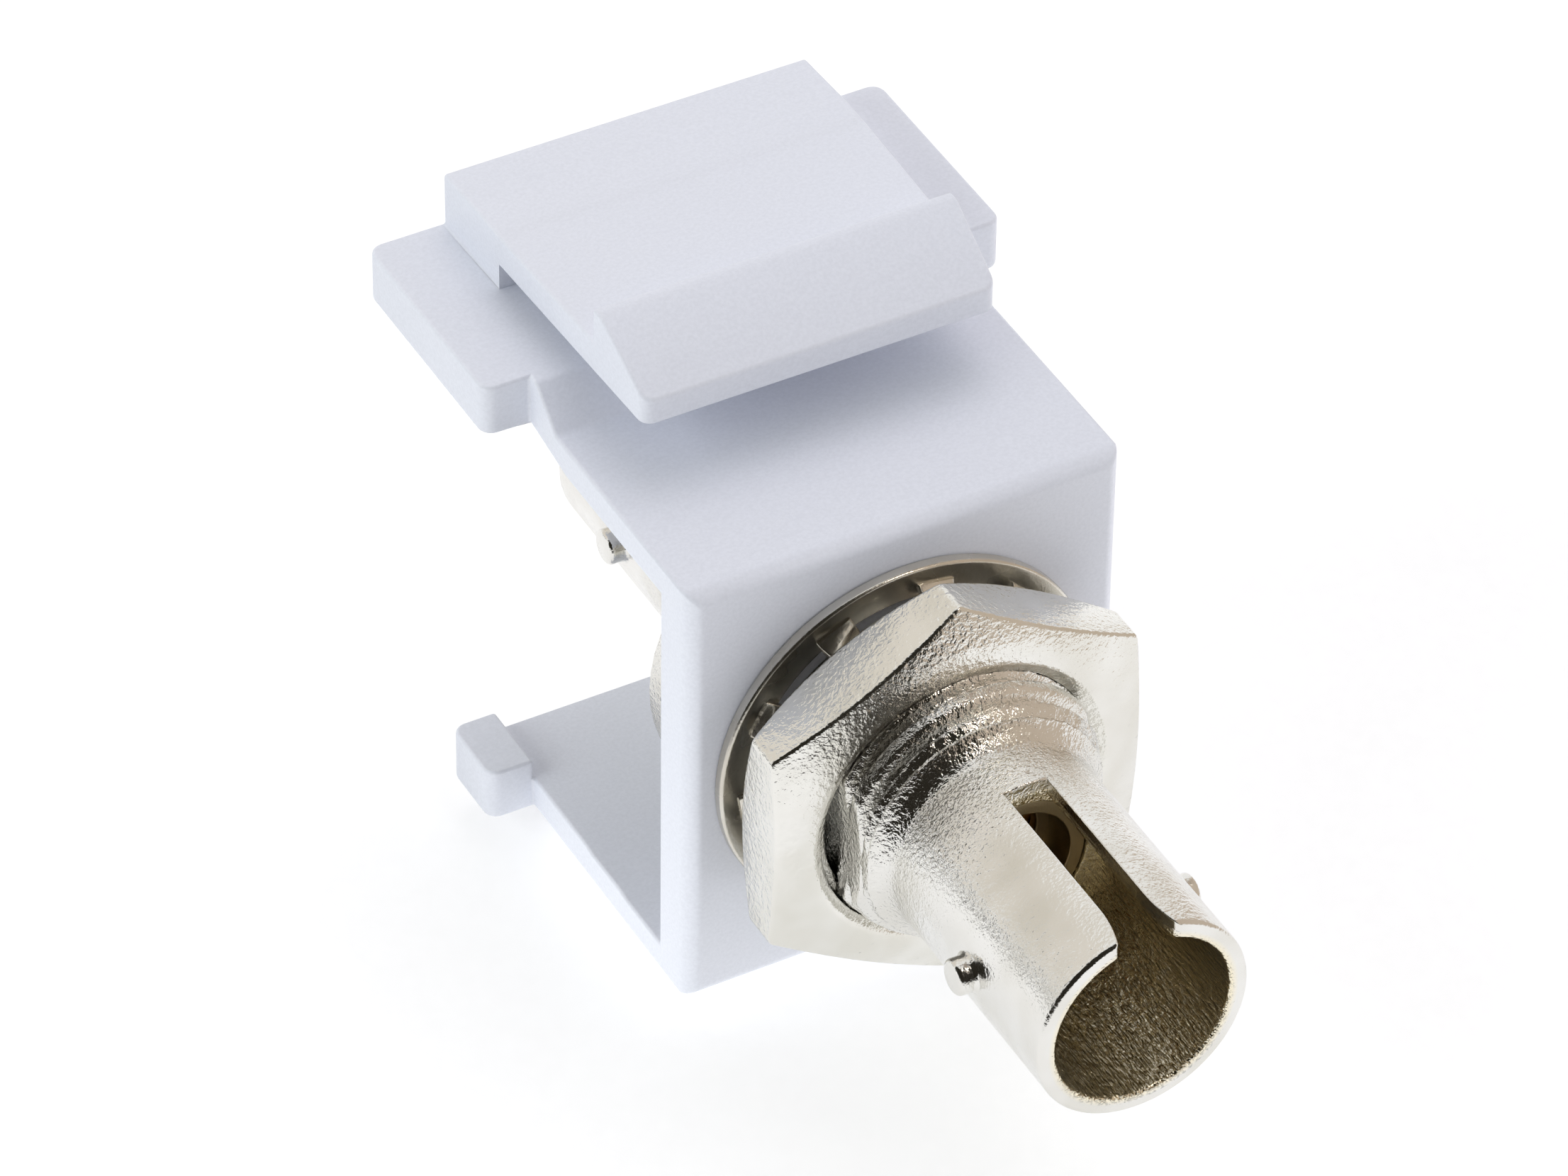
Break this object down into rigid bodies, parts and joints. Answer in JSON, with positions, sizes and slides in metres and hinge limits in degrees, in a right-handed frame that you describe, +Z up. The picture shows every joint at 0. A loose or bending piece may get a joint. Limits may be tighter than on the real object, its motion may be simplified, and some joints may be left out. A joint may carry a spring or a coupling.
{
  "type": "fibre optic keystone coupler",
  "caption": "Bayonet fibre optic feed-through coupler with slotted metal ports, clamped by nut and lock washer in a white moulded keystone insert with a spring latch.",
  "frame": {"origin": "on the coupler's axis, in the front face of the keystone insert", "axes": "+X to the right seen from the front, +Y from the front port towards the rear port, +Z up towards the latch"},
  "size_m": [0.0176, 0.0318, 0.0214],
  "materials": {
    "insert_plastic": "moulded, fine matt",
    "nickel_casting": "nickel-plated die casting",
    "nickel_steel": "nickel-plated spring steel",
    "holder_metal": "plain cast",
    "sleeve_bronze": "drawn phosphor bronze"
  },
  "bodies": {
    "insert": {"keystone_housing": "insert_plastic", "adapter_front_body": "nickel_casting", "adapter_rear_body": "nickel_casting", "hex_nut": "nickel_casting", "lock_washer": "nickel_steel", "sleeve_holder_front": "holder_metal", "sleeve_holder_rear": "holder_metal", "split_sleeve": "sleeve_bronze"},
    "latch": {"latch_arm": "insert_plastic"}
  },
  "joints": [
    {"name": "latch_press", "type": "hinge", "parent": "insert", "child": "latch", "pos_m": [0, 0.01405, 0.01053], "axis": [1, 0, 0], "range_deg": [0, 11], "stiffness_Nm_per_rad": 0.5}
  ]
}
